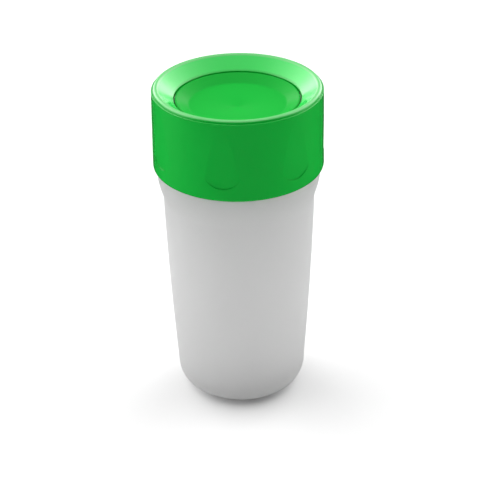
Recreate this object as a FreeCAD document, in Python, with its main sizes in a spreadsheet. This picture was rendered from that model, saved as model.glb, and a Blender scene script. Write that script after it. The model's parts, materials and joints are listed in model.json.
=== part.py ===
import FreeCAD, Part
import math
import os
import re

import Sketcher

# A child's spill-proof drinking cup, in millimetres. It stands on z = 0 with its axis on Z, and its
# front is towards -Y. From the top down it is a screw lid with a drinking rim, a valve that closes
# the lid's throat all the way round, a tapered tumbler, and a light unit that screws into a socket
# under the tumbler's raised floor.

DIMENSIONS = {
    # tumbler, outside
    "cup_foot_radius": 30.85,  # where the side's curve would meet the floor
    "cup_corner_round": 9.5,
    "cup_side_curve": 2000.0,
    "waist_radius": 35.8,
    "waist_z": 104.8,
    "waist_blend": 9.0,
    "shoulder_radius": 38.5,
    "shoulder_curve": 39.2,
    "shoulder_z": 119.1,
    "neck_radius": 36.2,
    "rim_z": 141.0,
    "rim_bore_radius": 34.2,
    "rim_round": 0.85,
    # tumbler, inside
    "cup_wall": 1.9,
    "trough_z": 2.2,
    "trough_round": 6.5,
    "dome_foot_radius": 21.2,
    "dome_foot_round": 0.8,
    "dome_top_radius": 20.3,
    "dome_z": 19.4,
    "dome_round": 4.0,
    # socket under the tumbler's floor
    "socket_mouth_radius": 19.5,
    "socket_step_z": 3.4,
    "socket_root_radius": 18.6,
    "socket_thread_top_z": 9.6,
    "socket_bore_radius": 18.2,
    "socket_roof_z": 17.4,
    # lid
    "lid_foot_z": 119.4,
    "lid_foot_radius": 40.0,
    "lid_foot_round": 1.2,
    "lid_top_z": 158.6,
    "lid_side_radius": 39.4,  # at the ledge under the rim bead
    "lid_side_round": 0.25,
    "lid_bore_radius": 38.1,
    "lid_bore_top_radius": 37.8,
    "lid_roof_z": 155.8,
    "bead_radius": 1.45,
    "bead_centre_radius": 37.3,
    "funnel_slope": 37.9,  # degrees
    "throat_radius": 29.3,
    "throat_z": 152.75,
    "throat_round": 0.45,
    "seat_z": 151.0,
    "seat_radius": 31.2,
    "skirt_bore_radius": 33.6,
    "skirt_radius": 35.4,
    "skirt_top_z": 153.6,
    "skirt_foot_z": 142.6,
    # finger flutes round the lid
    "flute_count": 7.0,
    "flute_width": 18.4,
    "flute_depth": 0.55,
    "flute_curve": 76.0,
    "flute_foot": 6.2,  # from the lid's lower edge up to the flute's round end
    "flute_turn": -10.9,  # degrees, of the flute nearest the front
    "flute_cutter_reach": 45.0,
    # lid thread
    "lid_lead": 12.0,
    "lid_starts": 3.0,
    "lid_turns": 0.42,
    "lid_thread_height": 1.3,
    "neck_thread_height": 1.2,
    "neck_thread_z": 127.6,
    "thread_root_half": 0.95,
    "thread_crest_half": 0.5,
    "thread_bite": 0.35,
    # lid gasket
    "gasket_bore_radius": 33.7,
    "gasket_radius": 36.4,
    "touch_gap": 0.05,
    # valve dish
    "dish_radius": 28.75,
    "dish_roll": 0.6,
    "dish_roll_z": 152.0,
    "dish_rim_foot_z": 150.5,
    "dish_slope": 30.2,  # degrees
    "dish_floor_radius": 22.5,
    "dish_floor_z": 149.4,
    "dish_floor_round": 2.5,
    "dish_centre_z": 147.7,
    "dish_floor_curve": 149.7,
    "dish_under_radius": 22.9,
    "dish_under_z": 147.7,
    "dish_hub_z": 145.8,
    "stem_radius": 3.0,
    "stem_foot_z": 137.2,
    "stem_round": 0.4,
    "stem_groove_radius": 2.4,
    "stem_groove_z": 138.0,
    "stem_groove_top_z": 139.3,
    # valve membrane
    "membrane_radius": 30.4,
    "membrane_thickness": 0.9,
    "membrane_lip_radius": 29.1,
    "membrane_shelf_radius": 28.85,
    "membrane_bore_radius": 3.1,
    # valve bellows
    "bellows_radius": 6.3,
    "bellows_fold": 1.2,
    "bellows_wall": 0.8,
    "bellows_sections": 4.0,
    "bellows_top_z": 144.8,
    # valve carrier
    "carrier_radius": 33.3,
    "carrier_bore_radius": 31.6,
    "carrier_foot_z": 139.6,
    "carrier_top_z": 148.6,
    "spoke_height": 2.0,
    "spoke_width": 2.6,
    "hub_radius": 6.8,
    "hub_bore_radius": 3.08,
    "hub_top_z": 142.0,
    # valve clip
    "clip_radius": 6.0,
    "clip_bore_radius": 2.45,
    "clip_thickness": 1.2,
    "clip_mouth": 4.2,
    "clip_mouth_length": 7.0,
    # light unit housing
    "unit_foot_z": 0.8,
    "flange_radius": 19.2,
    "flange_z": 2.4,
    "flange_round": 0.5,
    "unit_radius": 17.4,
    "unit_bore_radius": 15.9,
    "unit_floor_z": 3.0,
    "unit_split_z": 10.0,
    "unit_lead": 6.0,
    "unit_starts": 2.0,
    "unit_turns": 0.42,
    "unit_thread_z": 5.8,
    "unit_thread_height": 0.9,
    "socket_thread_height": 0.75,
    "unit_root_half": 0.7,
    "unit_crest_half": 0.35,
    "button_bore_radius": 5.2,
    "slot_inner": 7.6,
    "slot_outer": 13.6,
    "slot_width": 4.0,
    "slot_depth": 1.2,
    "screw_circle_radius": 13.6,
    "screw_count": 3.0,
    "boss_radius": 2.0,
    "screw_bore_radius": 1.1,
    "screw_head_bore_radius": 2.1,
    "screw_seat_z": 2.1,
    # light unit diffuser
    "diffuser_radius": 17.3,
    "diffuser_bore_radius": 16.1,
    "diffuser_top_z": 16.4,
    "diffuser_roof_z": 15.2,
    "diffuser_round": 2.0,
    "spigot_radius": 15.8,
    "spigot_bore_radius": 15.1,
    "spigot_z": 8.4,
    "spigot_top_z": 11.0,
    "pillar_radius": 1.8,
    # circuit board and what is on it
    "board_radius": 15.4,
    "board_z": 6.05,
    "board_thickness": 1.1,
    "switch_width": 6.0,
    "switch_foot_z": 4.1,
    "switch_well_radius": 1.85,
    "switch_well_z": 5.5,
    "plunger_radius": 1.75,
    "plunger_foot_z": 3.55,
    "plunger_top_z": 4.85,
    "led_count": 3.0,
    "led_circle_radius": 13.4,
    "led_flange_radius": 1.85,
    "led_flange_height": 0.8,
    "led_radius": 1.5,
    "led_height": 3.6,
    "chip_length": 4.9,
    "chip_width": 3.9,
    "chip_height": 1.4,
    "chip_offset": 9.3,
    "resistor_length": 2.0,
    "resistor_width": 1.25,
    "resistor_height": 0.6,
    "resistor_offset": 9.6,
    "resistor_pitch": 2.4,
    # coin cells, their holder, contact and strap
    "cell_count": 2.0,
    "cell_radius": 10.0,
    "cell_cap_radius": 8.9,
    "cell_cap_height": 0.35,
    "cell_height": 3.2,
    "cell_round": 0.3,
    "cell_pitch": 3.22,
    "cell_foot_z": 7.9,
    "holder_radius": 11.3,
    "holder_bore_radius": 10.15,
    "holder_ledge_radius": 9.1,
    "holder_ledge_z": 7.85,
    "holder_top_z": 12.0,
    "contact_radius": 4.0,
    "contact_crown_radius": 1.4,
    "contact_thickness": 0.3,
    "strap_width": 6.0,
    "strap_thickness": 0.3,
    "strap_span": 23.5,
    "strap_top_z": 14.75,
    # push button
    "button_radius": 4.9,
    "button_foot_z": 1.0,
    "button_round": 0.6,
    "button_flange_radius": 6.6,
    "button_flange_z": 3.05,
    "button_top_z": 3.5,
    # light seal
    "seal_bore_radius": 17.7,
    "seal_radius": 19.2,
    # screws
    "screw_radius": 1.0,
    "screw_head_radius": 1.9,
    "screw_head_foot_z": 1.1,
    "screw_top_z": 11.5,
    "screw_slot_width": 0.5,
    "screw_slot_depth": 0.5,
}

FULL_TURN = 360.0
UP = FreeCAD.Vector(0, 0, 1)
ONTO_XZ = FreeCAD.Rotation(FreeCAD.Vector(1, 0, 0), 90)  # turns a sketch's own plane upright
START, END = 1, 2  # the ends of a sketch edge
ORIGIN_POINT = (-1, 1)
V_AXIS = -2
NEAR = 0.05  # how closely an edge has to match the circle it is looked up by

doc = FreeCAD.newDocument("drinking_cup")
dims = doc.addObject("Spreadsheet::Sheet", "Dims")
for row, (alias, size) in enumerate(DIMENSIONS.items(), start=1):
    dims.set(f"A{row}", alias)
    dims.set(f"B{row}", str(size))
    dims.setAlias(f"B{row}", alias)
doc.recompute()

finished = []


def bound(text):
    """The expression for a size that is written with the sheet's aliases."""

    def with_sheet(word):
        return "Dims." + word.group(0) if word.group(0) in DIMENSIONS else word.group(0)

    return re.sub(r"[a-z][a-z0-9_]*", with_sheet, str(text))


def value(text):
    """The number that a size written with the sheet's aliases comes to."""
    return float(dims.evalExpression(bound(text)))


def bind(thing, **sizes):
    """Binds the object's properties to sizes; a double underscore in a name stands for a dot."""
    for name, text in sizes.items():
        thing.setExpression(name.replace("__", "."), bound(text))


def node(thing, label):
    """Marks an object as a finished sub-part, under the name that its file takes."""
    thing.Label = label
    finished.append(thing)
    return thing


def origin_plane(body, role):
    return next(plane for plane in body.Origin.OriginFeatures if plane.Role == role)


def arc_between(start, end, radius):
    """The arc from start to end, on the left of the way for a positive radius."""
    chord = end - start
    left = FreeCAD.Vector(-chord.y, chord.x, 0).normalize()
    rise = math.sqrt(radius**2 - (chord.Length / 2) ** 2)
    centre = (start + end) / 2 - left * math.copysign(rise, radius)
    angles = [math.atan2(point.y - centre.y, point.x - centre.x) for point in (start, end)]
    if radius > 0:
        angles.reverse()
    return Part.ArcOfCircle(Part.Circle(centre, UP, abs(radius)), *angles)


def outline(sketch, corners):
    """Fills a sketch with a closed outline.

    A corner is (radius, height), or (radius, height, curve) where an arc leads on to the next one.
    """
    points = [FreeCAD.Vector(value(corner[0]), value(corner[1]), 0) for corner in corners]
    edges = []
    for index, corner in enumerate(corners):
        start, end = points[index], points[(index + 1) % len(points)]
        if len(corner) == 3:
            curve = value(corner[2])
            edges.append((sketch.addGeometry(arc_between(start, end, curve)), curve > 0))
        else:
            edges.append((sketch.addGeometry(Part.LineSegment(start, end)), False))

    def first(index):
        return (edges[index][0], END if edges[index][1] else START)

    def last(index):
        return (edges[index][0], START if edges[index][1] else END)

    for index, corner in enumerate(corners):
        sketch.addConstraint(Sketcher.Constraint("Coincident", *last(index - 1), *first(index)))
        for kind, text, amount in zip(("DistanceX", "DistanceY"), corner, points[index]):
            if abs(amount) < NEAR and kind == "DistanceX":
                sketch.addConstraint(Sketcher.Constraint("PointOnObject", *first(index), V_AXIS))
                continue
            number = sketch.addConstraint(Sketcher.Constraint(kind, *ORIGIN_POINT, *first(index), amount))
            if not isinstance(text, float):
                sketch.setExpression(f"Constraints[{number}]", bound(text))
        if len(corner) == 3:
            curve = abs(value(corner[2]))
            number = sketch.addConstraint(Sketcher.Constraint("Radius", edges[index][0], curve))
            sketch.setExpression(f"Constraints[{number}]", bound(corner[2].lstrip("-")))


def sketch_in(body, name, role, corners):
    sketch = body.newObject("Sketcher::SketchObject", name)
    sketch.AttachmentSupport = (origin_plane(body, role), [""])
    sketch.MapMode = "FlatFace"
    outline(sketch, corners)
    return sketch


def turned(label, corners):
    """A body that is turned about Z from an outline of (radius, height) corners."""
    body = doc.addObject("PartDesign::Body", label)
    sketch = sketch_in(body, label + "_outline", "XZ_Plane", corners)
    turn = body.newObject("PartDesign::Revolution", label + "_turned")
    turn.Profile = sketch
    turn.ReferenceAxis = (sketch, ["V_Axis"])
    turn.Angle = FULL_TURN
    doc.recompute()
    return body


def rounded(body, radius, *circles):
    """Rounds the circular edges that lie at the given (radius, height) pairs."""
    base = body.Tip
    names = []
    for number, edge in enumerate(base.Shape.Edges, start=1):
        if edge.Degenerated or not isinstance(edge.Curve, Part.Circle):
            continue
        centre = edge.Curve.Center
        for ring, height in circles:
            if abs(edge.Curve.Radius - value(ring)) < NEAR and abs(centre.z - value(height)) < NEAR:
                names.append(f"Edge{number}")
    if not names:
        raise ValueError(f"{body.Label} has no edge at {circles}")
    fillet = body.newObject("PartDesign::Fillet", f"{body.Label}_round")
    fillet.Base = (base, names)
    bind(fillet, Radius=radius)
    doc.recompute()
    return body


def empty_body(label):
    return doc.addObject("PartDesign::Body", label)


def primitive(body, kind, name, place, **sizes):
    """Adds or takes away a PartDesign primitive, with its place and sizes bound to the sheet."""
    shape = body.newObject(f"PartDesign::{kind}", name)
    bind(shape, **sizes)
    for axis, text in zip("xyz", place):
        bind(shape, **{f"Placement__Base__{axis}": text})
    doc.recompute()
    return shape


def polar(body, features, count, name):
    """Repeats features about the body's Z axis."""
    pattern = body.newObject("PartDesign::PolarPattern", name)
    pattern.Originals = features
    pattern.Axis = (origin_plane(body, "Z_Axis"), [""])
    pattern.Angle = FULL_TURN
    pattern.Occurrences = int(value(count))
    body.Tip = pattern
    doc.recompute()
    return pattern


def thread(base, label, corners, lead, starts, turns, foot_z):
    """Fuses the ridges of a multi-start thread to a base; corners are the ridge's section."""
    pieces = [base]
    for start in range(int(value(starts))):
        place = FreeCAD.Placement(
            FreeCAD.Vector(0, 0, value(foot_z)),
            FreeCAD.Rotation(UP, FULL_TURN * start / value(starts)),
        )
        helix = doc.addObject("Part::Helix", f"{label}_helix_{start}")
        bind(helix, Pitch=lead, Height=f"{lead} * {turns}", Radius=corners[0][0])
        helix.Placement = place
        section = doc.addObject("Sketcher::SketchObject", f"{label}_section_{start}")
        outline(section, corners)
        section.Placement = place * FreeCAD.Placement(FreeCAD.Vector(), ONTO_XZ)
        ridge = doc.addObject("Part::Sweep", f"{label}_ridge_{start}")
        ridge.Sections = [section]
        ridge.Spine = (helix, ["Edge1"])
        ridge.Solid = True
        ridge.Frenet = True
        pieces.append(ridge)
    whole = doc.addObject("Part::MultiFuse", label)
    whole.Shapes = pieces
    doc.recompute()
    return whole


def ridge_section(root, tip, root_half, crest_half):
    """A trapezoid on the thread's wall; its middle is at height 0."""
    return [
        (root, f"-{root_half}"),
        (root, root_half),
        (tip, crest_half),
        (tip, f"-{crest_half}"),
    ]


def make_cup_body():
    tumbler = turned(
        "tumbler",
        [
            ("socket_mouth_radius", "0"),
            ("cup_foot_radius", "0", "-cup_side_curve"),
            ("waist_radius", "waist_z", "-shoulder_curve"),
            ("shoulder_radius", "shoulder_z"),
            ("neck_radius", "shoulder_z"),
            ("neck_radius", "rim_z"),
            ("rim_bore_radius", "rim_z"),
            ("rim_bore_radius", "shoulder_z"),
            ("waist_radius - cup_wall", "waist_z", "cup_side_curve"),
            ("cup_foot_radius - cup_wall", "trough_z"),
            ("dome_foot_radius", "trough_z"),
            ("dome_top_radius", "dome_z"),
            ("0", "dome_z"),
            ("0", "socket_roof_z"),
            ("socket_bore_radius", "socket_roof_z"),
            ("socket_bore_radius", "socket_thread_top_z"),
            ("socket_root_radius", "socket_thread_top_z"),
            ("socket_root_radius", "socket_step_z"),
            ("socket_mouth_radius", "socket_step_z"),
        ],
    )
    rounded(tumbler, "cup_corner_round", ("cup_foot_radius", "0"))
    rounded(tumbler, "waist_blend", ("waist_radius", "waist_z"))
    rounded(tumbler, "trough_round", ("cup_foot_radius - cup_wall", "trough_z"))
    rounded(tumbler, "dome_foot_round", ("dome_foot_radius", "trough_z"))
    rounded(tumbler, "dome_round", ("dome_top_radius", "dome_z"))
    rounded(tumbler, "rim_round", ("neck_radius", "rim_z"), ("rim_bore_radius", "rim_z"))
    neck_ridge = ridge_section(
        "(neck_radius - thread_bite)", "(neck_radius + neck_thread_height)",
        "thread_root_half", "thread_crest_half",
    )
    threaded = thread(
        tumbler, "tumbler_with_neck_thread", neck_ridge,
        "lid_lead", "lid_starts", "lid_turns", "neck_thread_z",
    )
    socket_ridge = ridge_section(
        "(socket_root_radius + thread_bite)", "(socket_root_radius - socket_thread_height)",
        "unit_root_half", "unit_crest_half",
    )
    cup = thread(
        threaded, "cup", socket_ridge,
        "unit_lead", "unit_starts", "unit_turns", "unit_thread_z - unit_lead / unit_starts / 2",
    )
    return node(cup, "cup_body")


def make_flute_cutters():
    """The space outside each shallow finger flute, as a compound of one solid a flute."""
    width = value("flute_width")
    arch_z = value("lid_foot_z + flute_foot + flute_width / 2")
    reach = value("flute_cutter_reach")
    surface = value("lid_foot_radius - flute_depth")
    curve = value("flute_curve")
    top = value("lid_top_z")
    arch = Part.makeCylinder(width / 2, reach, FreeCAD.Vector(0, 0, arch_z), FreeCAD.Vector(0, -1, 0))
    column = Part.makeBox(width, reach, top - arch_z, FreeCAD.Vector(-width / 2, -reach, arch_z))
    core = Part.makeCylinder(curve, top, FreeCAD.Vector(0, curve - surface, 0))
    cutter = arch.fuse(column).removeSplitter().cut(core)
    count = int(value("flute_count"))
    turns = [value("flute_turn") + FULL_TURN * number / count for number in range(count)]
    return Part.makeCompound([cutter.rotated(FreeCAD.Vector(), UP, turn) for turn in turns])


def make_lid_shell():
    bead_z = "(lid_top_z - bead_radius)"
    shell = turned(
        "lid_turned",
        [
            ("lid_bore_radius", "lid_foot_z"),
            ("lid_foot_radius", "lid_foot_z"),
            ("lid_side_radius", bead_z),
            ("bead_centre_radius + bead_radius", bead_z, "-bead_radius"),
            ("bead_centre_radius", "lid_top_z", "-bead_radius"),
            (
                "bead_centre_radius - bead_radius * sin(funnel_slope)",
                f"{bead_z} + bead_radius * cos(funnel_slope)",
            ),
            ("throat_radius", "throat_z"),
            ("throat_radius", "seat_z"),
            ("seat_radius", "seat_z"),
            ("skirt_bore_radius", "skirt_top_z"),
            ("skirt_bore_radius", "skirt_foot_z"),
            ("skirt_radius", "skirt_foot_z"),
            ("skirt_radius", "lid_roof_z"),
            ("lid_bore_top_radius", "lid_roof_z"),
        ],
    )
    rounded(shell, "lid_foot_round", ("lid_foot_radius", "lid_foot_z"))
    rounded(shell, "lid_side_round", ("lid_side_radius", bead_z))
    rounded(shell, "throat_round", ("throat_radius", "throat_z"))
    cutters = doc.addObject("Part::Feature", "flute_cutters")
    cutters.Shape = make_flute_cutters()
    cutters.Placement = FreeCAD.Placement()
    fluted = doc.addObject("Part::Cut", "lid_fluted")
    fluted.Base = shell
    fluted.Tool = cutters
    doc.recompute()
    lid_ridge = ridge_section(
        "(lid_bore_radius + thread_bite)", "(lid_bore_radius - lid_thread_height)",
        "thread_root_half", "thread_crest_half",
    )
    lid = thread(
        fluted, "lid", lid_ridge,
        "lid_lead", "lid_starts", "lid_turns", "neck_thread_z - lid_lead / lid_starts / 2",
    )
    return node(lid, "lid_shell")


def make_lid_gasket():
    foot, top = "rim_z + touch_gap", "skirt_foot_z - touch_gap"
    ring = [
        ("gasket_bore_radius", foot),
        ("gasket_radius", foot),
        ("gasket_radius", top),
        ("gasket_bore_radius", top),
    ]
    return node(turned("gasket", ring), "lid_gasket")


def make_valve_dish():
    roll_centre = "(dish_radius - dish_roll)"
    dish = turned(
        "dish",
        [
            ("0", "dish_centre_z", "dish_floor_curve"),
            ("dish_floor_radius", "dish_floor_z"),
            (
                f"{roll_centre} - dish_roll * sin(dish_slope)",
                "dish_roll_z + dish_roll * cos(dish_slope)",
                "dish_roll",
            ),
            ("dish_radius", "dish_roll_z"),
            ("dish_radius", "dish_rim_foot_z"),
            (roll_centre, "dish_rim_foot_z"),
            ("dish_under_radius", "dish_under_z"),
            ("stem_radius", "dish_hub_z"),
            ("stem_radius", "stem_groove_top_z"),
            ("stem_groove_radius", "stem_groove_top_z"),
            ("stem_groove_radius", "stem_groove_z"),
            ("stem_radius", "stem_groove_z"),
            ("stem_radius", "stem_foot_z"),
            ("0", "stem_foot_z"),
        ],
    )
    rounded(dish, "dish_floor_round", ("dish_floor_radius", "dish_floor_z"))
    rounded(dish, "stem_round", ("stem_radius", "stem_foot_z"))
    return node(dish, "valve_dish")


def make_valve_membrane():
    shelf_z = "(dish_rim_foot_z - touch_gap)"
    membrane = turned(
        "membrane",
        [
            ("membrane_bore_radius", "dish_hub_z - touch_gap"),
            ("dish_under_radius", "dish_under_z - touch_gap"),
            ("dish_radius - dish_roll", shelf_z),
            ("membrane_shelf_radius", shelf_z),
            ("membrane_lip_radius", "seat_z - touch_gap"),
            ("membrane_radius", "seat_z - touch_gap"),
            ("membrane_radius", "seat_z - touch_gap - membrane_thickness"),
            ("membrane_shelf_radius", f"{shelf_z} - membrane_thickness"),
            ("dish_under_radius", "dish_under_z - touch_gap - membrane_thickness"),
            ("membrane_bore_radius", "dish_hub_z - touch_gap - membrane_thickness"),
        ],
    )
    return node(membrane, "valve_membrane")


def make_valve_bellows():
    """A tube whose wall folds in and out twice between the carrier's hub and the membrane."""
    foot = "(hub_top_z + touch_gap)"
    rise = f"((bellows_top_z - {foot}) / bellows_sections)"
    outer = [
        (f"bellows_radius - {step % 2} * bellows_fold", f"{foot} + {rise} * {step}")
        for step in range(int(value("bellows_sections")) + 1)
    ]
    inner = [(f"{radius} - bellows_wall", height) for radius, height in reversed(outer)]
    return node(turned("bellows", outer + inner), "valve_bellows")


def make_valve_carrier():
    ring = turned(
        "carrier",
        [
            ("carrier_bore_radius", "carrier_foot_z"),
            ("carrier_radius", "carrier_foot_z"),
            ("carrier_radius", "carrier_top_z"),
            ("carrier_bore_radius", "carrier_top_z"),
        ],
    )
    hub_height = "hub_top_z - carrier_foot_z"
    span = "(carrier_bore_radius + carrier_radius)"
    spokes = {"spokes_x": (span, "spoke_width"), "spokes_y": ("spoke_width", span)}
    for name, (length, width) in spokes.items():
        primitive(
            ring, "AdditiveBox", name, (f"-{length} / 2", f"-{width} / 2", "carrier_foot_z"),
            Length=length, Width=width, Height="spoke_height",
        )
    primitive(
        ring, "AdditiveCylinder", "hub", ("0", "0", "carrier_foot_z"),
        Radius="hub_radius", Height=hub_height,
    )
    primitive(
        ring, "SubtractiveCylinder", "hub_bore", ("0", "0", "carrier_foot_z"),
        Radius="hub_bore_radius", Height=hub_height,
    )
    return node(ring, "valve_carrier")


def make_valve_clip():
    clip = empty_body("clip")
    foot = "(stem_groove_z + touch_gap)"
    primitive(
        clip, "AdditiveCylinder", "clip_plate", ("0", "0", foot),
        Radius="clip_radius", Height="clip_thickness",
    )
    primitive(
        clip, "SubtractiveCylinder", "clip_bore", ("0", "0", foot),
        Radius="clip_bore_radius", Height="clip_thickness",
    )
    primitive(
        clip, "SubtractiveBox", "clip_gap", ("0", "-clip_mouth / 2", foot),
        Length="clip_mouth_length", Width="clip_mouth", Height="clip_thickness",
    )
    return node(clip, "valve_clip")


def make_light_housing():
    housing = turned(
        "housing",
        [
            ("button_bore_radius", "unit_foot_z"),
            ("flange_radius", "unit_foot_z"),
            ("flange_radius", "flange_z"),
            ("unit_radius", "flange_z"),
            ("unit_radius", "unit_split_z"),
            ("unit_bore_radius", "unit_split_z"),
            ("unit_bore_radius", "unit_floor_z"),
            ("button_bore_radius", "unit_floor_z"),
        ],
    )
    rounded(housing, "flange_round", ("flange_radius", "unit_foot_z"))
    slots = [
        primitive(
            housing, "SubtractiveBox", name, (x, "-slot_width / 2", "unit_foot_z"),
            Length="slot_outer - slot_inner", Width="slot_width", Height="slot_depth",
        )
        for name, x in (("grip_slot_right", "slot_inner"), ("grip_slot_left", "-slot_outer"))
    ]
    centre = ("0", "screw_circle_radius")
    boss = primitive(
        housing, "AdditiveCylinder", "boss", (*centre, "unit_floor_z - touch_gap"),
        Radius="boss_radius", Height="board_z - unit_floor_z",
    )
    polar(housing, [boss], "screw_count", "bosses")
    bore = primitive(
        housing, "SubtractiveCylinder", "screw_bore", (*centre, "unit_foot_z"),
        Radius="screw_bore_radius", Height="board_z - unit_foot_z",
    )
    head = primitive(
        housing, "SubtractiveCylinder", "screw_head_bore", (*centre, "unit_foot_z"),
        Radius="screw_head_bore_radius", Height="screw_seat_z - unit_foot_z",
    )
    polar(housing, [bore, head], "screw_count", "screw_bores")
    unit_ridge = ridge_section(
        "(unit_radius - thread_bite)", "(unit_radius + unit_thread_height)",
        "unit_root_half", "unit_crest_half",
    )
    threaded = thread(
        housing, "housing_threaded", unit_ridge,
        "unit_lead", "unit_starts", "unit_turns", "unit_thread_z",
    )
    return node(threaded, "light_housing")


def make_light_diffuser():
    diffuser = turned(
        "diffuser",
        [
            ("diffuser_radius", "unit_split_z + touch_gap"),
            ("diffuser_radius", "diffuser_top_z"),
            ("0", "diffuser_top_z"),
            ("0", "diffuser_roof_z"),
            ("diffuser_bore_radius", "diffuser_roof_z"),
            ("diffuser_bore_radius", "spigot_top_z"),
            ("spigot_bore_radius", "spigot_top_z"),
            ("spigot_bore_radius", "spigot_z"),
            ("spigot_radius", "spigot_z"),
            ("spigot_radius", "unit_split_z + touch_gap"),
        ],
    )
    rounded(diffuser, "diffuser_round", ("diffuser_radius", "diffuser_top_z"))
    foot = "(board_z + board_thickness + touch_gap)"
    pillar = primitive(
        diffuser, "AdditiveCylinder", "pillar", ("0", "screw_circle_radius", foot),
        Radius="pillar_radius", Height=f"diffuser_roof_z + touch_gap - {foot}",
    )
    polar(diffuser, [pillar], "screw_count", "pillars")
    pilot = primitive(
        diffuser, "SubtractiveCylinder", "pilot", ("0", "screw_circle_radius", foot),
        Radius="screw_radius", Height=f"screw_top_z + 2 * touch_gap - {foot}",
    )
    polar(diffuser, [pilot], "screw_count", "pilots")
    return node(diffuser, "light_diffuser")


def make_light_seal():
    foot, top = "flange_z + touch_gap", "socket_step_z - touch_gap"
    ring = [
        ("seal_bore_radius", foot),
        ("seal_radius", foot),
        ("seal_radius", top),
        ("seal_bore_radius", top),
    ]
    return node(turned("seal", ring), "light_seal")


def make_circuit_board():
    board = empty_body("board")
    primitive(
        board, "AdditiveCylinder", "board_plate", ("0", "0", "board_z"),
        Radius="board_radius", Height="board_thickness",
    )
    hole = primitive(
        board, "SubtractiveCylinder", "board_hole", ("0", "screw_circle_radius", "board_z"),
        Radius="screw_bore_radius", Height="board_thickness",
    )
    polar(board, [hole], "screw_count", "board_holes")
    return node(board, "circuit_board")


def make_leds():
    leds = empty_body("led_group")
    foot = "(board_z + board_thickness + touch_gap)"
    centre = ("0", "-led_circle_radius")
    flange = primitive(
        leds, "AdditiveCylinder", "led_flange", (*centre, foot),
        Radius="led_flange_radius", Height="led_flange_height",
    )
    lens = primitive(
        leds, "AdditiveCylinder", "led_lens", (*centre, foot),
        Radius="led_radius", Height="led_height - led_radius",
    )
    dome = primitive(
        leds, "AdditiveSphere", "led_dome", (*centre, f"{foot} + led_height - led_radius"),
        Radius="led_radius",
    )
    polar(leds, [flange, lens, dome], "led_count", "leds_round")
    return node(leds, "leds")


def make_controller_chip():
    chip = empty_body("chip")
    primitive(
        chip, "AdditiveBox", "chip_case",
        ("-chip_length / 2", "chip_offset - chip_width / 2", "board_z - touch_gap - chip_height"),
        Length="chip_length", Width="chip_width", Height="chip_height",
    )
    return node(chip, "controller_chip")


def make_resistors():
    resistors = empty_body("resistor_group")
    for number in range(int(value("led_count"))):
        shift = number - (value("led_count") - 1) / 2
        primitive(
            resistors, "AdditiveBox", f"resistor_{number}",
            (
                f"{shift} * resistor_pitch - resistor_width / 2",
                "-resistor_offset - resistor_length / 2",
                "board_z - touch_gap - resistor_height",
            ),
            Length="resistor_width", Width="resistor_length", Height="resistor_height",
        )
    return node(resistors, "resistors")


def make_switch_case():
    case = empty_body("switch")
    height = "(board_z - touch_gap - switch_foot_z)"
    primitive(
        case, "AdditiveBox", "switch_block",
        ("-switch_width / 2", "-switch_width / 2", "switch_foot_z"),
        Length="switch_width", Width="switch_width", Height=height,
    )
    primitive(
        case, "SubtractiveCylinder", "switch_well", ("0", "0", "switch_foot_z"),
        Radius="switch_well_radius", Height="switch_well_z - switch_foot_z",
    )
    return node(case, "switch_case")


def make_switch_plunger():
    plunger = empty_body("plunger")
    primitive(
        plunger, "AdditiveCylinder", "plunger_pin", ("0", "0", "plunger_foot_z"),
        Radius="plunger_radius", Height="plunger_top_z - plunger_foot_z",
    )
    return node(plunger, "switch_plunger")


def make_push_button():
    button = turned(
        "button",
        [
            ("0", "button_foot_z"),
            ("button_radius", "button_foot_z"),
            ("button_radius", "button_flange_z"),
            ("button_flange_radius", "button_flange_z"),
            ("button_flange_radius", "button_top_z"),
            ("0", "button_top_z"),
        ],
    )
    rounded(button, "button_round", ("button_radius", "button_foot_z"))
    return node(button, "push_button")


def make_coin_cells():
    """The stack of cells, each with its smaller negative cap below."""
    cells = turned(
        "cell_group",
        [
            ("0", "cell_foot_z"),
            ("cell_cap_radius", "cell_foot_z"),
            ("cell_cap_radius", "cell_foot_z + cell_cap_height"),
            ("cell_radius", "cell_foot_z + cell_cap_height"),
            ("cell_radius", "cell_foot_z + cell_height - cell_round", "-cell_round"),
            ("cell_radius - cell_round", "cell_foot_z + cell_height"),
            ("0", "cell_foot_z + cell_height"),
        ],
    )
    stack = cells.newObject("PartDesign::LinearPattern", "cell_stack")
    stack.Originals = [cells.Tip]
    stack.Direction = (origin_plane(cells, "Z_Axis"), [""])
    stack.Occurrences = int(value("cell_count"))
    bind(stack, Length="cell_pitch")
    cells.Tip = stack
    doc.recompute()
    return node(cells, "coin_cells")


def make_cell_holder():
    foot = "(board_z + board_thickness + touch_gap)"
    ring = [
        ("holder_ledge_radius", foot),
        ("holder_radius", foot),
        ("holder_radius", "holder_top_z"),
        ("holder_bore_radius", "holder_top_z"),
        ("holder_bore_radius", "holder_ledge_z"),
        ("holder_ledge_radius", "holder_ledge_z"),
    ]
    return node(turned("holder", ring), "cell_holder")


def make_cell_contact():
    """A shallow sprung cone under the stack's negative cap."""
    foot = "(board_z + board_thickness + touch_gap)"
    crown = "(cell_foot_z - touch_gap / 2)"
    cone = [
        ("contact_radius", foot),
        ("contact_radius", f"{foot} + contact_thickness"),
        ("contact_crown_radius", crown),
        ("0", crown),
        ("0", f"{crown} - contact_thickness"),
        ("contact_crown_radius", f"{crown} - contact_thickness"),
        ("contact_radius - 2 * contact_thickness", foot),
    ]
    return node(turned("contact", cone), "cell_contact")


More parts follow.
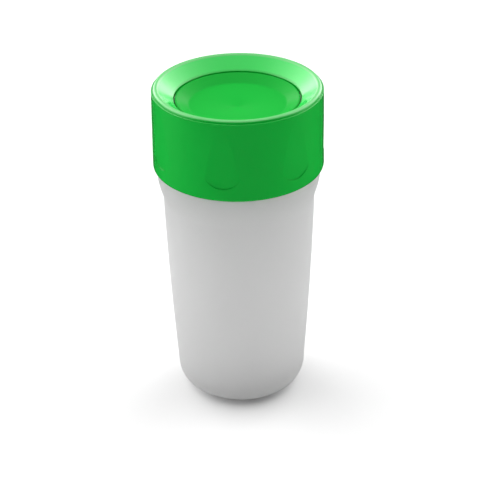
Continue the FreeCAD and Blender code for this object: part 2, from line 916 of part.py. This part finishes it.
def make_cell_strap():
    """A bent strip from the board, up and over the cells, and down to the board again."""
    strap = empty_body("strap")
    foot = "(board_z + board_thickness + touch_gap)"
    primitive(
        strap, "AdditiveBox", "strap_block", ("-strap_span / 2", "-strap_width / 2", foot),
        Length="strap_span", Width="strap_width", Height=f"strap_top_z - {foot}",
    )
    primitive(
        strap, "SubtractiveBox", "strap_space",
        ("-strap_span / 2 + strap_thickness", "-strap_width / 2", foot),
        Length="strap_span - 2 * strap_thickness", Width="strap_width",
        Height=f"strap_top_z - strap_thickness - {foot}",
    )
    return node(strap, "cell_strap")


def make_housing_screws():
    screws = empty_body("screw_group")
    centre = ("0", "screw_circle_radius")
    head = primitive(
        screws, "AdditiveCylinder", "screw_head", (*centre, "screw_head_foot_z"),
        Radius="screw_head_radius", Height="screw_seat_z - touch_gap - screw_head_foot_z",
    )
    shank = primitive(
        screws, "AdditiveCylinder", "screw_shank", (*centre, "screw_head_foot_z"),
        Radius="screw_radius - touch_gap / 2", Height="screw_top_z - screw_head_foot_z",
    )
    slot = primitive(
        screws, "SubtractiveBox", "screw_slot",
        (
            "-screw_head_radius",
            "screw_circle_radius - screw_slot_width / 2",
            "screw_head_foot_z",
        ),
        Length="2 * screw_head_radius", Width="screw_slot_width", Height="screw_slot_depth",
    )
    polar(screws, [head, shank, slot], "screw_count", "screws_round")
    return node(screws, "housing_screws")


for make in (
    make_cup_body,
    make_lid_shell,
    make_lid_gasket,
    make_valve_dish,
    make_valve_membrane,
    make_valve_bellows,
    make_valve_carrier,
    make_valve_clip,
    make_light_housing,
    make_light_diffuser,
    make_light_seal,
    make_circuit_board,
    make_leds,
    make_controller_chip,
    make_resistors,
    make_switch_case,
    make_switch_plunger,
    make_push_button,
    make_coin_cells,
    make_cell_holder,
    make_cell_contact,
    make_cell_strap,
    make_housing_screws,
):
    make()

doc.recompute()
for thing in doc.Objects:
    if "Invalid" in thing.State or "Error" in thing.State:
        raise RuntimeError(f"{thing.Label} did not recompute: {thing.State}")
for thing in finished:
    if thing.Shape.isNull() or not thing.Shape.isValid():
        raise RuntimeError(f"{thing.Label} has no valid shape")

os.makedirs("parts", exist_ok=True)
for thing in finished:
    thing.Shape.exportStep(f"parts/{thing.Label}.step")
    print(f"{thing.Label}: {len(thing.Shape.Solids)} solids, {thing.Shape.Volume:.1f} mm3")
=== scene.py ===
import json
import math

import bpy
from mathutils import Matrix, Vector


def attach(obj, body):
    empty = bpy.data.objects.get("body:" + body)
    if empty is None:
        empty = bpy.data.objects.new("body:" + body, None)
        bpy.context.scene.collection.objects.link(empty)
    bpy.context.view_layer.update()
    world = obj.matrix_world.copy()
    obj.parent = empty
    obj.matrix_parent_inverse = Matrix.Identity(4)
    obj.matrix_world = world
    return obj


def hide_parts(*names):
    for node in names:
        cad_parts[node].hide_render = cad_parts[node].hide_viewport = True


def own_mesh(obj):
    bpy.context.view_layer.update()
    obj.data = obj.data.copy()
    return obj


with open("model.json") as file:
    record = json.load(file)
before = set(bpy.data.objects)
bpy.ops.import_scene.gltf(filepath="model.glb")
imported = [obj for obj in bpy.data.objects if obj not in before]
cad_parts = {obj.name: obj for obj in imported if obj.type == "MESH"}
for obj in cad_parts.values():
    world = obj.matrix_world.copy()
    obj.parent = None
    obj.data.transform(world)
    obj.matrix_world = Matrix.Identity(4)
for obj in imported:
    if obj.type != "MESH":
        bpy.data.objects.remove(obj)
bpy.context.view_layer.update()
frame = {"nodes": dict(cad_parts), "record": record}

MM = 0.001

# The camera stands in front of the cup (-Y) and above it, and looks down at its axis.
CAMERA_DISTANCE = 0.6706
CAMERA_ELEVATION = math.radians(30.27)
CAMERA_ROLL = math.radians(-0.91)
CAMERA_AIM = Vector((0.0001, 0, 0.0770))
CAMERA_LENS = 103.9
CAMERA_CLIP = 0.01

# Two soft boxes, at the left and at the right, face the foot of the lid.
BOX_AIM = Vector((0, 0, 0.12))
BOX_ELEVATION = 22
BOX_DISTANCE = 0.9
BOX_WIDTH = 0.7
BOX_HEIGHT = 0.8

# The rest of the light comes from glows, which are soft round patches beside, behind and above the
# cup. Each pair has an azimuth and an elevation in degrees, a sharpness, and a left and a right
# radiance. The ceiling's glow has one of each.
AMBIENT = 0.02
PAIRED_GLOWS = [
    (96, 24, 7.5, 2.2, 1.15),
    (150, 14, 24, 4.2, 4.2),
    (132, 34, 20, 2.4, 2.4),
    (108, 54, 14, 1.2, 1.2),
]
CEILING_GLOW = (180, 82, 9, 2.0)

FLOOR_SIZE = 20.0
FLOOR_ROUGHNESS = 0.9
FLOOR_SPECULAR = 0.1

# Noise scales are in features per metre.
NOISE_LOW, NOISE_HIGH = 0.3, 0.7  # nearly all of a noise texture's values lie between these
FLOOR_CLOUDS = 3
PLASTIC_CLOUDS = 35
PLASTIC_BUMP = 0.25
PLASTIC_IOR = 1.49
METAL_CLOUDS = 300
METAL_BRUSHING = 1500
METAL_BUMP = 0.2
METAL_GRAIN_DEPTH = 0.02 * MM
LIGHT_SPREAD = 1.5 * MM  # how far light travels under the surface of a milky material
TUMBLER_SKIN = 0.68  # the share of the tumbler's surface that glows with the light behind it

# The lid's funnel is painted paler than its side, as painted light, and its crest paler and whiter
# still, as a painted highlight. The funnel's green fades in between two radii and two heights, and
# the crest's between two heights.
LID_GREEN = (0.004, 0.44, 0.042)
LID_SHADE = (0.004, 0.425, 0.04)
DISH_GREEN = (0.012, 0.42, 0.045)
DISH_SHADE = (0.012, 0.40, 0.043)
# Painted light: the funnel's paler green.
FUNNEL_PAINTED_LIGHT = (0.014, 0.68, 0.085)
# Painted highlight: the crest's paler, whiter green.
CREST_PAINTED_HIGHLIGHT = (0.13, 0.60, 0.17)
FUNNEL_EDGE = (37.1 * MM, 37.6 * MM)
FUNNEL_FOOT = (152.7 * MM, 153.6 * MM)
CREST_FOOT = (157.8 * MM, 158.2 * MM)


def material(name):
    """A new material, its node tree and its Principled shader."""
    made = bpy.data.materials.new(name)
    made.use_nodes = True
    return made, made.node_tree, made.node_tree.nodes["Principled BSDF"]


def grey(value):
    return (value, value, value)


def object_place(tree):
    """Coordinates in metres on the object itself."""
    return tree.nodes.new("ShaderNodeTexCoord").outputs["Object"]


def noise(tree, place, scale, detail=3):
    made = tree.nodes.new("ShaderNodeTexNoise")
    made.inputs["Scale"].default_value = scale
    made.inputs["Detail"].default_value = detail
    tree.links.new(place, made.inputs["Vector"])
    return made.outputs["Fac"]


def remap(tree, source, low, high, start=NOISE_LOW, end=NOISE_HIGH):
    """Goes from low to high as the source goes from start to end, and stays there beyond them."""
    made = tree.nodes.new("ShaderNodeMapRange")
    made.inputs["From Min"].default_value = start
    made.inputs["From Max"].default_value = end
    made.inputs["To Min"].default_value = low
    made.inputs["To Max"].default_value = high
    tree.links.new(source, made.inputs["Value"])
    return made.outputs["Result"]


def blend_colours(tree, factor, first, second):
    """Blends two colours, of which each is either numbers or another node's output."""
    made = tree.nodes.new("ShaderNodeMix")
    made.data_type = "RGBA"
    sockets = [socket for socket in made.inputs if socket.type == "RGBA"]
    for socket, colour in zip(sockets, (first, second)):
        if isinstance(colour, tuple):
            socket.default_value = (*colour, 1)
        else:
            tree.links.new(colour, socket)
    tree.links.new(factor, made.inputs["Factor"])
    return next(socket for socket in made.outputs if socket.type == "RGBA")


def calculate(tree, operation, first, second):
    """Joins two values, of which each is either a number or another node's output."""
    made = tree.nodes.new("ShaderNodeMath")
    made.operation = operation
    for socket, value in zip(made.inputs, (first, second)):
        if isinstance(value, (int, float)):
            socket.default_value = value
        else:
            tree.links.new(value, socket)
    return made.outputs["Value"]


def height_and_radius(tree, place):
    """Outputs for the height above the base and the distance from the cup's axis."""
    parts = tree.nodes.new("ShaderNodeSeparateXYZ")
    tree.links.new(place, parts.inputs["Vector"])
    flat = tree.nodes.new("ShaderNodeVectorMath")
    flat.operation = "MULTIPLY"
    flat.inputs[1].default_value = (1, 1, 0)
    tree.links.new(place, flat.inputs[0])
    length = tree.nodes.new("ShaderNodeVectorMath")
    length.operation = "LENGTH"
    tree.links.new(flat.outputs["Vector"], length.inputs[0])
    return parts.outputs["Z"], length.outputs["Value"]


def clouded_colour(tree, shader, place, scale, colour, shade):
    """Clouds that go from the colour to its shade."""
    cloud = remap(tree, noise(tree, place, scale), 0, 1)
    tree.links.new(blend_colours(tree, cloud, colour, shade), shader.inputs["Base Color"])


def uneven_gloss(tree, shader, grain, gloss):
    """Roughness that follows the grain, within the range that gloss gives."""
    tree.links.new(remap(tree, grain, *gloss), shader.inputs["Roughness"])


def bump(tree, shader, height, strength, distance):
    made = tree.nodes.new("ShaderNodeBump")
    made.inputs["Strength"].default_value = strength
    made.inputs["Distance"].default_value = distance
    tree.links.new(height, made.inputs["Height"])
    tree.links.new(made.outputs["Normal"], shader.inputs["Normal"])


def moulded_plastic(name, colour, shade, gloss, grain, grain_depth, milkiness=0.0, specular=0.5):
    """Plastic with faint clouds in its colour, uneven gloss and a fine surface grain."""
    made, tree, shader = material(name)
    place = object_place(tree)
    fine = noise(tree, place, grain, detail=2)
    clouded_colour(tree, shader, place, PLASTIC_CLOUDS, colour, shade)
    uneven_gloss(tree, shader, fine, gloss)
    bump(tree, shader, fine, PLASTIC_BUMP, grain_depth)
    shader.inputs["Specular IOR Level"].default_value = specular
    shader.inputs["IOR"].default_value = PLASTIC_IOR
    if milkiness:
        shader.inputs["Subsurface Weight"].default_value = milkiness
        shader.inputs["Subsurface Radius"].default_value = (1, 1, 1)
        shader.inputs["Subsurface Scale"].default_value = LIGHT_SPREAD
    return made


def metal(name, colour, shade, gloss):
    """Metal with faint clouds in its colour and a fine brushed grain."""
    made, tree, shader = material(name)
    place = object_place(tree)
    brushed = noise(tree, place, METAL_BRUSHING, detail=4)
    clouded_colour(tree, shader, place, METAL_CLOUDS, colour, shade)
    uneven_gloss(tree, shader, brushed, gloss)
    bump(tree, shader, brushed, METAL_BUMP, METAL_GRAIN_DEPTH)
    shader.inputs["Metallic"].default_value = 1
    return made


def tumbler_satin():
    """Satin plastic, of which a share is a thin milky skin that glows with the light behind it."""
    made = moulded_plastic(
        "tumbler_satin", grey(0.8), grey(0.79), gloss=(0.6, 0.7), grain=1400, grain_depth=0.02 * MM
    )
    tree = made.node_tree
    skin = tree.nodes.new("ShaderNodeBsdfTranslucent")
    skin.inputs["Color"].default_value = (*grey(0.9), 1)
    mix = tree.nodes.new("ShaderNodeMixShader")
    mix.inputs["Fac"].default_value = TUMBLER_SKIN
    tree.links.new(tree.nodes["Principled BSDF"].outputs["BSDF"], mix.inputs[1])
    tree.links.new(skin.outputs["BSDF"], mix.inputs[2])
    tree.links.new(mix.outputs["Shader"], tree.nodes["Material Output"].inputs["Surface"])
    return made


def lid_green():
    """Glossy green plastic, with painted light on the funnel and a paler, whiter painted highlight
    on the crest.
    """
    made = moulded_plastic(
        "lid_green", LID_GREEN, LID_SHADE, gloss=(0.13, 0.17), grain=700, grain_depth=0.004 * MM
    )
    tree = made.node_tree
    socket = tree.nodes["Principled BSDF"].inputs["Base Color"]
    side = socket.links[0].from_socket
    height, radius = height_and_radius(tree, object_place(tree))
    inside = remap(tree, radius, 1, 0, *FUNNEL_EDGE)
    above = remap(tree, height, 0, 1, *FUNNEL_FOOT)
    # Painted light on the funnel, then a painted highlight on the crest, over the side's green.
    funnel = blend_colours(tree, calculate(tree, "MULTIPLY", inside, above), side, FUNNEL_PAINTED_LIGHT)
    crest = blend_colours(tree, remap(tree, height, 0, 1, *CREST_FOOT), funnel, CREST_PAINTED_HIGHLIGHT)
    tree.links.new(crest, socket)
    return made


def dish_green():
    """The lid's plastic with a duller surface."""
    return moulded_plastic(
        "dish_green",
        DISH_GREEN,
        DISH_SHADE,
        gloss=(0.2, 0.26),
        grain=700,
        grain_depth=0.004 * MM,
        specular=0.03,
    )


def milky_silicone():
    return moulded_plastic(
        "milky_silicone",
        (0.72, 0.74, 0.74),
        (0.68, 0.70, 0.70),
        gloss=(0.38, 0.5),
        grain=900,
        grain_depth=0.03 * MM,
        milkiness=0.4,
    )


def white_plastic():
    return moulded_plastic(
        "white_plastic",
        (0.78, 0.78, 0.76),
        (0.75, 0.75, 0.73),
        gloss=(0.3, 0.42),
        grain=1200,
        grain_depth=0.02 * MM,
    )


def frosted_diffuser():
    return moulded_plastic(
        "frosted_diffuser",
        (0.85, 0.85, 0.82),
        (0.82, 0.82, 0.79),
        gloss=(0.5, 0.6),
        grain=1500,
        grain_depth=0.03 * MM,
        milkiness=0.5,
    )


def solder_mask():
    return moulded_plastic(
        "solder_mask",
        (0.01, 0.11, 0.04),
        (0.012, 0.13, 0.05),
        gloss=(0.25, 0.4),
        grain=2000,
        grain_depth=0.03 * MM,
    )


def led_epoxy():
    return moulded_plastic(
        "led_epoxy",
        (0.8, 0.8, 0.74),
        (0.75, 0.75, 0.68),
        gloss=(0.08, 0.14),
        grain=800,
        grain_depth=0.01 * MM,
        milkiness=0.4,
    )


def black_epoxy():
    return moulded_plastic(
        "black_epoxy",
        (0.012, 0.012, 0.013),
        (0.018, 0.018, 0.02),
        gloss=(0.4, 0.55),
        grain=3000,
        grain_depth=0.03 * MM,
    )


def chip_ceramic():
    return moulded_plastic(
        "chip_ceramic",
        (0.03, 0.03, 0.035),
        (0.045, 0.045, 0.05),
        gloss=(0.3, 0.45),
        grain=3000,
        grain_depth=0.02 * MM,
    )


def bellows(silicone):
    """The silicone bellows, which in the real cup flattens on the valve carrier's hub when the dish
    is pressed; here a silicone copy of its part that rides with the carrier and keeps its shape.
    """
    cad = frame["nodes"]["valve_bellows"]
    skin = bpy.data.objects.new("bellows_skin", cad.data.copy())
    skin.matrix_world = cad.matrix_world.copy()
    bpy.context.scene.collection.objects.link(skin)
    skin.data.materials.clear()
    skin.data.materials.append(silicone)
    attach(skin, "carrier")
    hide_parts("valve_bellows")
    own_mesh(skin)


def floor():
    made, tree, shader = material("pale_floor")
    clouded_colour(tree, shader, object_place(tree), FLOOR_CLOUDS, grey(0.89), grey(0.87))
    shader.inputs["Roughness"].default_value = FLOOR_ROUGHNESS
    shader.inputs["Specular IOR Level"].default_value = FLOOR_SPECULAR
    bpy.ops.mesh.primitive_plane_add(size=FLOOR_SIZE)
    plane = bpy.context.object
    plane.name = "floor"
    plane.data.materials.append(made)
    plane.visible_glossy = False


def aimed(location, target):
    """The turn that points a camera or a light from location to target."""
    return (target - location).to_track_quat("-Z", "Y")


def direction(azimuth, elevation):
    """Azimuth 0 is in front (-Y), and 90 is on the right (+X)."""
    around, up = math.radians(azimuth), math.radians(elevation)
    return Vector((math.sin(around) * math.cos(up), -math.cos(around) * math.cos(up), math.sin(up)))


def camera():
    data = bpy.data.cameras.new("camera")
    data.lens = CAMERA_LENS
    data.clip_start = CAMERA_CLIP
    made = bpy.data.objects.new("camera", data)
    back = Vector((0, -math.cos(CAMERA_ELEVATION), math.sin(CAMERA_ELEVATION)))
    place = CAMERA_AIM + back * CAMERA_DISTANCE
    turn = aimed(place, CAMERA_AIM).to_matrix().to_4x4() @ Matrix.Rotation(CAMERA_ROLL, 4, "Z")
    made.matrix_world = Matrix.Translation(place) @ turn
    bpy.context.scene.collection.objects.link(made)
    bpy.context.scene.camera = made


def soft_box(name, azimuth, radiance):
    data = bpy.data.lights.new(name, "AREA")
    data.shape = "RECTANGLE"
    data.size = BOX_WIDTH
    data.size_y = BOX_HEIGHT
    data.energy = radiance * math.pi * BOX_WIDTH * BOX_HEIGHT
    light = bpy.data.objects.new(name, data)
    light.location = BOX_AIM + direction(azimuth, BOX_ELEVATION) * BOX_DISTANCE
    light.rotation_euler = aimed(light.location, BOX_AIM).to_euler()
    bpy.context.scene.collection.objects.link(light)


def glow(tree, toward, azimuth, elevation, sharpness, radiance):
    """An output that is brightest in one direction and fades away smoothly all round it."""
    facing = tree.nodes.new("ShaderNodeVectorMath")
    facing.operation = "DOT_PRODUCT"
    facing.inputs[1].default_value = direction(azimuth, elevation)
    tree.links.new(toward, facing.inputs[0])
    in_front = calculate(tree, "MAXIMUM", facing.outputs["Value"], 0)
    return calculate(tree, "MULTIPLY", calculate(tree, "POWER", in_front, sharpness), radiance)


def studio():
    """The light that comes from all round the cup."""
    world = bpy.data.worlds.new("studio")
    world.use_nodes = True
    tree = world.node_tree
    toward = tree.nodes.new("ShaderNodeTexCoord").outputs["Generated"]
    total = AMBIENT
    for azimuth, elevation, sharpness, left, right in PAIRED_GLOWS:
        for side, radiance in ((-1, left), (1, right)):
            patch = glow(tree, toward, side * azimuth, elevation, sharpness, radiance)
            total = calculate(tree, "ADD", patch, total)
    total = calculate(tree, "ADD", glow(tree, toward, *CEILING_GLOW), total)
    tree.links.new(total, tree.nodes["Background"].inputs["Strength"])
    tree.nodes["Background"].inputs["Color"].default_value = (1, 1, 1, 1)
    bpy.context.scene.world = world


materials = {
    "tumbler_plastic": tumbler_satin(),
    "green_plastic": lid_green(),
    "clear_silicone": milky_silicone(),
    "white_plastic": white_plastic(),
    "diffuser_plastic": frosted_diffuser(),
    "board_laminate": solder_mask(),
    "led_epoxy": led_epoxy(),
    "black_epoxy": black_epoxy(),
    "ceramic": chip_ceramic(),
    "cell_steel": metal("cell_steel", (0.62, 0.61, 0.58), (0.56, 0.55, 0.52), gloss=(0.22, 0.34)),
    "spring_metal": metal("spring_strip", (0.66, 0.60, 0.44), (0.6, 0.54, 0.4), gloss=(0.2, 0.3)),
    "screw_steel": metal("screw_steel", (0.55, 0.55, 0.56), (0.48, 0.48, 0.5), gloss=(0.28, 0.4)),
}
choices = {
    entry["node"]: materials[entry["material_slot"]] for entry in frame["record"]["subparts"]
}
choices["valve_dish"] = dish_green()
for name, node in frame["nodes"].items():
    for slot in node.material_slots:
        slot.material = choices[name]

bellows(materials["clear_silicone"])
floor()
camera()
soft_box("box_left", -90, 0.7)
soft_box("box_right", 96, 0.6)
studio()
bpy.context.scene.view_settings.view_transform = "Standard"
